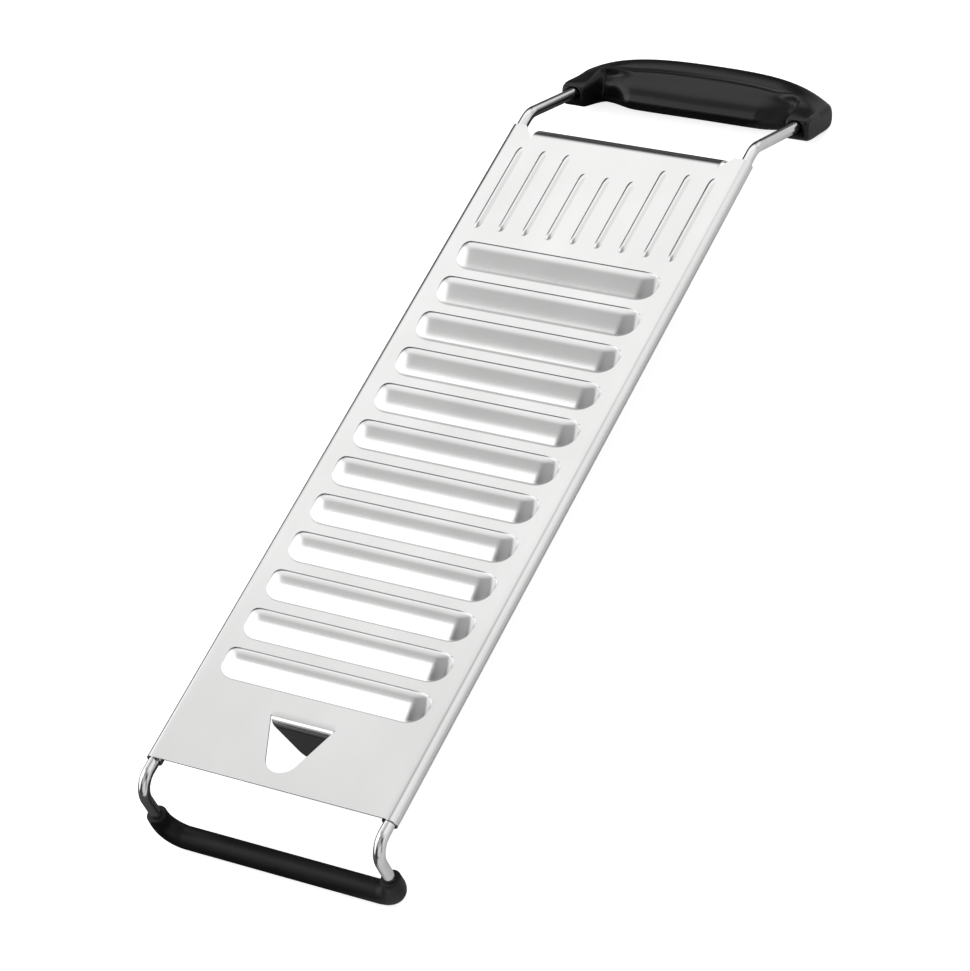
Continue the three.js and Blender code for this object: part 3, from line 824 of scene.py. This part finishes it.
def cut(piece, points, faces):
    """Cuts a closed tool from a piece in the handle's own frame."""
    tool = new_object("tool", points, faces, [])
    modifier = piece.modifiers.new("cut", "BOOLEAN")
    modifier.operation = "DIFFERENCE"
    modifier.solver = "EXACT"
    modifier.object = tool
    applied(piece)
    bpy.data.objects.remove(tool)


def handle():
    grip = new_object("handle_grip", *handle_bar(), [])
    bore = WIRE_RADIUS + FIT_GAP
    for side in (-1, 1):
        mouth = bore + SOCKET_FLARE + TOOL_OVERRUN
        stations = [(-TOOL_OVERRUN, mouth), (SOCKET_FLARE, bore), (SOCKET_DEPTH, bore)]
        along = Vector((0, 1, 0))
        rings = rings_along(
            [Vector((side * RAIL_X, y, 0)) for y, _ in stations],
            [along] * 3, [radius for _, radius in stations], SOCKET_SIDES,
        )
        cut(grip, np.vstack(rings), skin(rings, False))
    entry = slope_point(0, HANDLE_WIRE_RUN)
    place = Matrix.Translation(entry * MM) @ Matrix.Rotation(-HANDLE_SLOPE, 4, "X")
    grip.data.transform(place)
    reach = HANDLE_WIDTH
    ground = rounded_box(
        (-reach, entry.y - reach, -reach), (reach, entry.y + reach, 0), HANDLE_EDGE_RADIUS
    )
    cut(grip, *ground)
    grip.data.materials.clear()
    grip.data.materials.append(handle_plastic())
    grip.data.polygons.foreach_set("use_smooth", [True] * len(grip.data.polygons))
    grip.data.set_sharp_from_angle(angle=math.radians(SHARP_ANGLE))
    stands_for(grip, "handle")


# Studio.
CAMERA_AZIMUTH = 47.08
CAMERA_ELEVATION = 47.82
CAMERA_ROLL = -26.48
CAMERA_DISTANCE = 1.4593
CAMERA_AIM = Vector((0.01955, -0.0399, 0.018))  # from the middle of the CAD box
CAMERA_LENS = 143.55
CAMERA_SENSOR = 36
FLOOR_SIZE = 8
FLOOR_COLOUR = (0.9, 0.9, 0.9)
FLOOR_GLOW = 0.75
FLOOR_SHADE = (0.08, 0.85)  # painted shade: in reflections the floor is dark, and pale right of the object
FLOOR_SHADE_X = (0.02, 0.05)


def direction(azimuth, elevation):
    """The direction towards a place in the studio: azimuth 0 is -Y and 90 is +X."""
    a = math.radians(azimuth)
    e = math.radians(elevation)
    return Vector((math.sin(a) * math.cos(e), -math.cos(a) * math.cos(e), math.sin(e)))


def camera():
    data = bpy.data.cameras.new("camera")
    data.sensor_fit = "HORIZONTAL"
    data.sensor_width = CAMERA_SENSOR
    data.lens = CAMERA_LENS
    data.clip_end = 20
    back = direction(CAMERA_AZIMUTH, CAMERA_ELEVATION)
    level = direction(CAMERA_AZIMUTH + 90, 0)
    up = back.cross(level)
    roll = math.radians(CAMERA_ROLL)
    x = level * math.cos(roll) + up * math.sin(roll)
    y = up * math.cos(roll) - level * math.sin(roll)
    aim = (CAD_BOX[0] + CAD_BOX[1]) / 2 + CAMERA_AIM
    made = bpy.data.objects.new("camera", data)
    made.matrix_world = Matrix.Translation(aim + back * CAMERA_DISTANCE) @ Matrix(
        (x, y, back)
    ).transposed().to_4x4()
    bpy.context.scene.collection.objects.link(made)
    bpy.context.scene.camera = made


def floor():
    half = FLOOR_SIZE / 2 / MM
    corners = [(-half, -half, 0), (half, -half, 0), (half, half, 0), (-half, half, 0)]
    surface = Surface("floor_paint", 0, Specular_IOR_Level=0.2)
    surface.shader.inputs["Roughness"].default_value = 0.8
    surface.shader.inputs["Emission Color"].default_value = (1, 1, 1, 1)
    across = surface.nodes.new("ShaderNodeSeparateXYZ")
    surface.links.new(surface.place, across.inputs["Vector"])
    # painted shade: rays other than the camera's see the floor dark left of the object and pale right of
    # it
    shade = surface.nodes.new("ShaderNodeMapRange")
    ends = zip(("From Min", "From Max", "To Min", "To Max"), FLOOR_SHADE_X + FLOOR_SHADE)
    for socket, value in ends:
        shade.inputs[socket].default_value = value
    surface.links.new(across.outputs["X"], shade.inputs["Value"])
    seen = surface.nodes.new("ShaderNodeMix")
    seen.data_type = "RGBA"
    seen.inputs["B"].default_value = (*FLOOR_COLOUR, 1)
    surface.links.new(shade.outputs["Result"], seen.inputs["A"])
    surface.links.new(seen.outputs["Result"], surface.shader.inputs["Base Color"])
    glow = surface.nodes.new("ShaderNodeMath")
    glow.operation = "MULTIPLY"
    glow.inputs[1].default_value = FLOOR_GLOW
    path = surface.nodes.new("ShaderNodeLightPath")
    surface.links.new(path.outputs["Is Camera Ray"], seen.inputs["Factor"])
    surface.links.new(path.outputs["Is Camera Ray"], glow.inputs[0])
    surface.links.new(glow.outputs["Value"], surface.shader.inputs["Emission Strength"])
    plane = new_object("floor", corners, [(0, 1, 2, 3)], [surface.material])


# Soft boxes of the studio: azimuth and elevation, full and faded radius in degrees, brightness, and
# the height over the horizon, as a share of the sky's radius, up to which a box is cut off; -1 cuts none.
STUDIO_LEVEL = 0.05
STUDIO_BOXES = (
    ("left_box", 280, 20, 30, 42, 1.3, -1),
    ("bridge_box", 263, 48, 10, 29, 0.62, -1),
    ("back_box", 200, 17, 34, 62, 1.12, 0.22),
    ("right_box", 135, 44, 14, 42, 0.98, -1),
    ("far_box", 165, 5, 14, 30, 0.9, -1),
    ("overhead", 180, 75, 5, 38, 0.42, -1),
    ("side_box", 108, 8, 16, 44, 0.85, -1),
    ("front_box", 35, 22, 14, 38, 0.7, -1),
    ("high_box", 10, 62, 10, 32, 0.5, -1),
)
HORIZON_FADE = 0.33
# One more soft box stands near: where it is, its size in metres and its brightness.
NEAR_BOX_TOWARDS = Vector((-0.72, -0.11, 0.68))
NEAR_BOX_DISTANCE = 1.3
NEAR_BOX_SIZE = (1.16, 0.64)
NEAR_BOX_BRIGHTNESS = 1.18
BACKDROP = 0.95


def near_box():
    width, height = NEAR_BOX_SIZE
    data = bpy.data.lights.new("near_box", "AREA")
    data.shape = "RECTANGLE"
    data.size = width
    data.size_y = height
    data.energy = math.pi * width * height * NEAR_BOX_BRIGHTNESS
    back = NEAR_BOX_TOWARDS.normalized()
    y = (Vector((0, 1, 0)) - back * back.y).normalized()
    x = y.cross(back)
    made = bpy.data.objects.new("near_box", data)
    foot = Vector((0, CAD_BOX[0][1], 0))
    made.matrix_world = Matrix.Translation(foot + back * NEAR_BOX_DISTANCE) @ Matrix(
        (x, y, back)
    ).transposed().to_4x4()
    made.visible_camera = False
    bpy.context.scene.collection.objects.link(made)


def studio_light():
    world = bpy.data.worlds.new("studio")
    bpy.context.scene.world = world
    world.use_nodes = True
    nodes = world.node_tree.nodes
    links = world.node_tree.links
    place = nodes.new("ShaderNodeTexCoord").outputs["Generated"]
    total = None
    height = nodes.new("ShaderNodeSeparateXYZ")
    links.new(place, height.inputs["Vector"])
    for name, azimuth, elevation, full, faded, brightness, cut_off in STUDIO_BOXES:
        towards = nodes.new("ShaderNodeVectorMath")
        towards.operation = "DOT_PRODUCT"
        towards.inputs[1].default_value = direction(azimuth, elevation)
        links.new(place, towards.inputs[0])
        fade = nodes.new("ShaderNodeMapRange")
        fade.name = name
        fade.interpolation_type = "SMOOTHSTEP"
        fade.inputs["From Min"].default_value = math.cos(math.radians(faded))
        fade.inputs["From Max"].default_value = math.cos(math.radians(full))
        fade.inputs["To Max"].default_value = brightness
        links.new(towards.outputs["Value"], fade.inputs["Value"])
        rise = nodes.new("ShaderNodeMapRange")
        rise.interpolation_type = "SMOOTHSTEP"
        rise.inputs["From Min"].default_value = cut_off
        rise.inputs["From Max"].default_value = cut_off + HORIZON_FADE
        links.new(height.outputs["Z"], rise.inputs["Value"])
        cut_box = nodes.new("ShaderNodeMath")
        cut_box.operation = "MULTIPLY"
        links.new(fade.outputs["Result"], cut_box.inputs[0])
        links.new(rise.outputs["Result"], cut_box.inputs[1])
        brightest = nodes.new("ShaderNodeMath")
        brightest.operation = "MAXIMUM"
        links.new(cut_box.outputs["Value"], brightest.inputs[0])
        if total is None:
            brightest.inputs[1].default_value = STUDIO_LEVEL
        else:
            links.new(total, brightest.inputs[1])
        total = brightest.outputs["Value"]
    seen = nodes.new("ShaderNodeMix")
    links.new(nodes.new("ShaderNodeLightPath").outputs["Is Camera Ray"], seen.inputs["Factor"])
    links.new(total, seen.inputs["A"])
    seen.inputs["B"].default_value = BACKDROP
    background = nodes["Background"]
    background.inputs["Color"].default_value = (1, 1, 1, 1)
    links.new(seen.outputs["Result"], background.inputs["Strength"])


slicing_plate()
wire_frame()
foot_sleeve()
handle()
floor()
camera()
near_box()
studio_light()
bpy.context.scene.view_settings.view_transform = "Standard"
